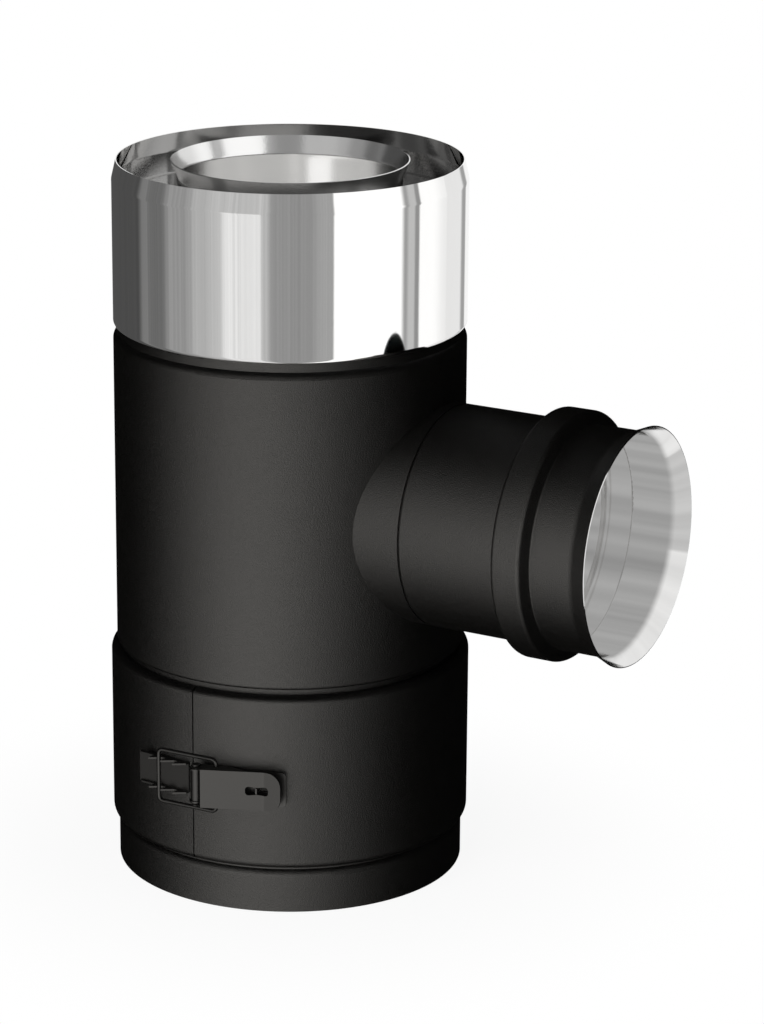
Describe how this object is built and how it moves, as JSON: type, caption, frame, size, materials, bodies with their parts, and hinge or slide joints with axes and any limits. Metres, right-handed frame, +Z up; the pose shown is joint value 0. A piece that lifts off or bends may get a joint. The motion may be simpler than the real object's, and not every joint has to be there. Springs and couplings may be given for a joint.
{
  "type": "twin-wall flue tee",
  "caption": "Insulated twin-wall flue tee with a bare top spigot, a beaded side branch, a capped lower end and a latched locking band.",
  "frame": {"origin": "on the pipe axis at the flat bottom face of the cap", "axes": "+Z up along the pipe axis, +X along the branch towards its mouth, the latch faces -Y"},
  "size_m": [0.4058, 0.2732, 0.515],
  "materials": {
    "black_coat": "black powder coat, fine grain",
    "polished_steel": "mirror-polished stainless steel",
    "satin_steel": "mill-finish stainless steel",
    "black_latch": "black-coated pressed steel",
    "wool": "mineral wool"
  },
  "bodies": {
    "tee": {"jacket_body": "black_coat", "top_sleeve": "polished_steel", "inner_liner": "satin_steel", "branch_stub": "satin_steel", "branch_collar": "black_coat", "branch_pipe": "black_coat", "body_insulation": "wool", "top_cover_ring": "satin_steel", "bottom_cover_ring": "satin_steel", "cap_shell": "black_coat", "cap_sleeve": "polished_steel", "cap_pot": "satin_steel", "cap_insulation": "wool", "cap_cover_ring": "satin_steel", "cap_end_plate": "black_coat", "locking_band": "black_coat", "keeper_plate": "black_latch", "latch_base": "black_latch", "lever_pin": "black_latch"},
    "lever": {"latch_lever": "black_latch"},
    "bail": {"latch_bail": "black_latch"}
  },
  "joints": [
    {"name": "lever_hinge", "type": "hinge", "parent": "tee", "child": "lever", "pos_m": [0.00698, -0.138, 0.095], "axis": [0, 0, -1], "range_deg": [0, 150]},
    {"name": "bail_hinge", "type": "hinge", "parent": "lever", "child": "bail", "pos_m": [0.0205, -0.13346, 0.095], "axis": [0, 0, -1], "range_deg": [-150, 0]}
  ],
  "couplings": [
    {"joint": "bail_hinge", "follows": "lever_hinge", "ratio": -1}
  ]
}
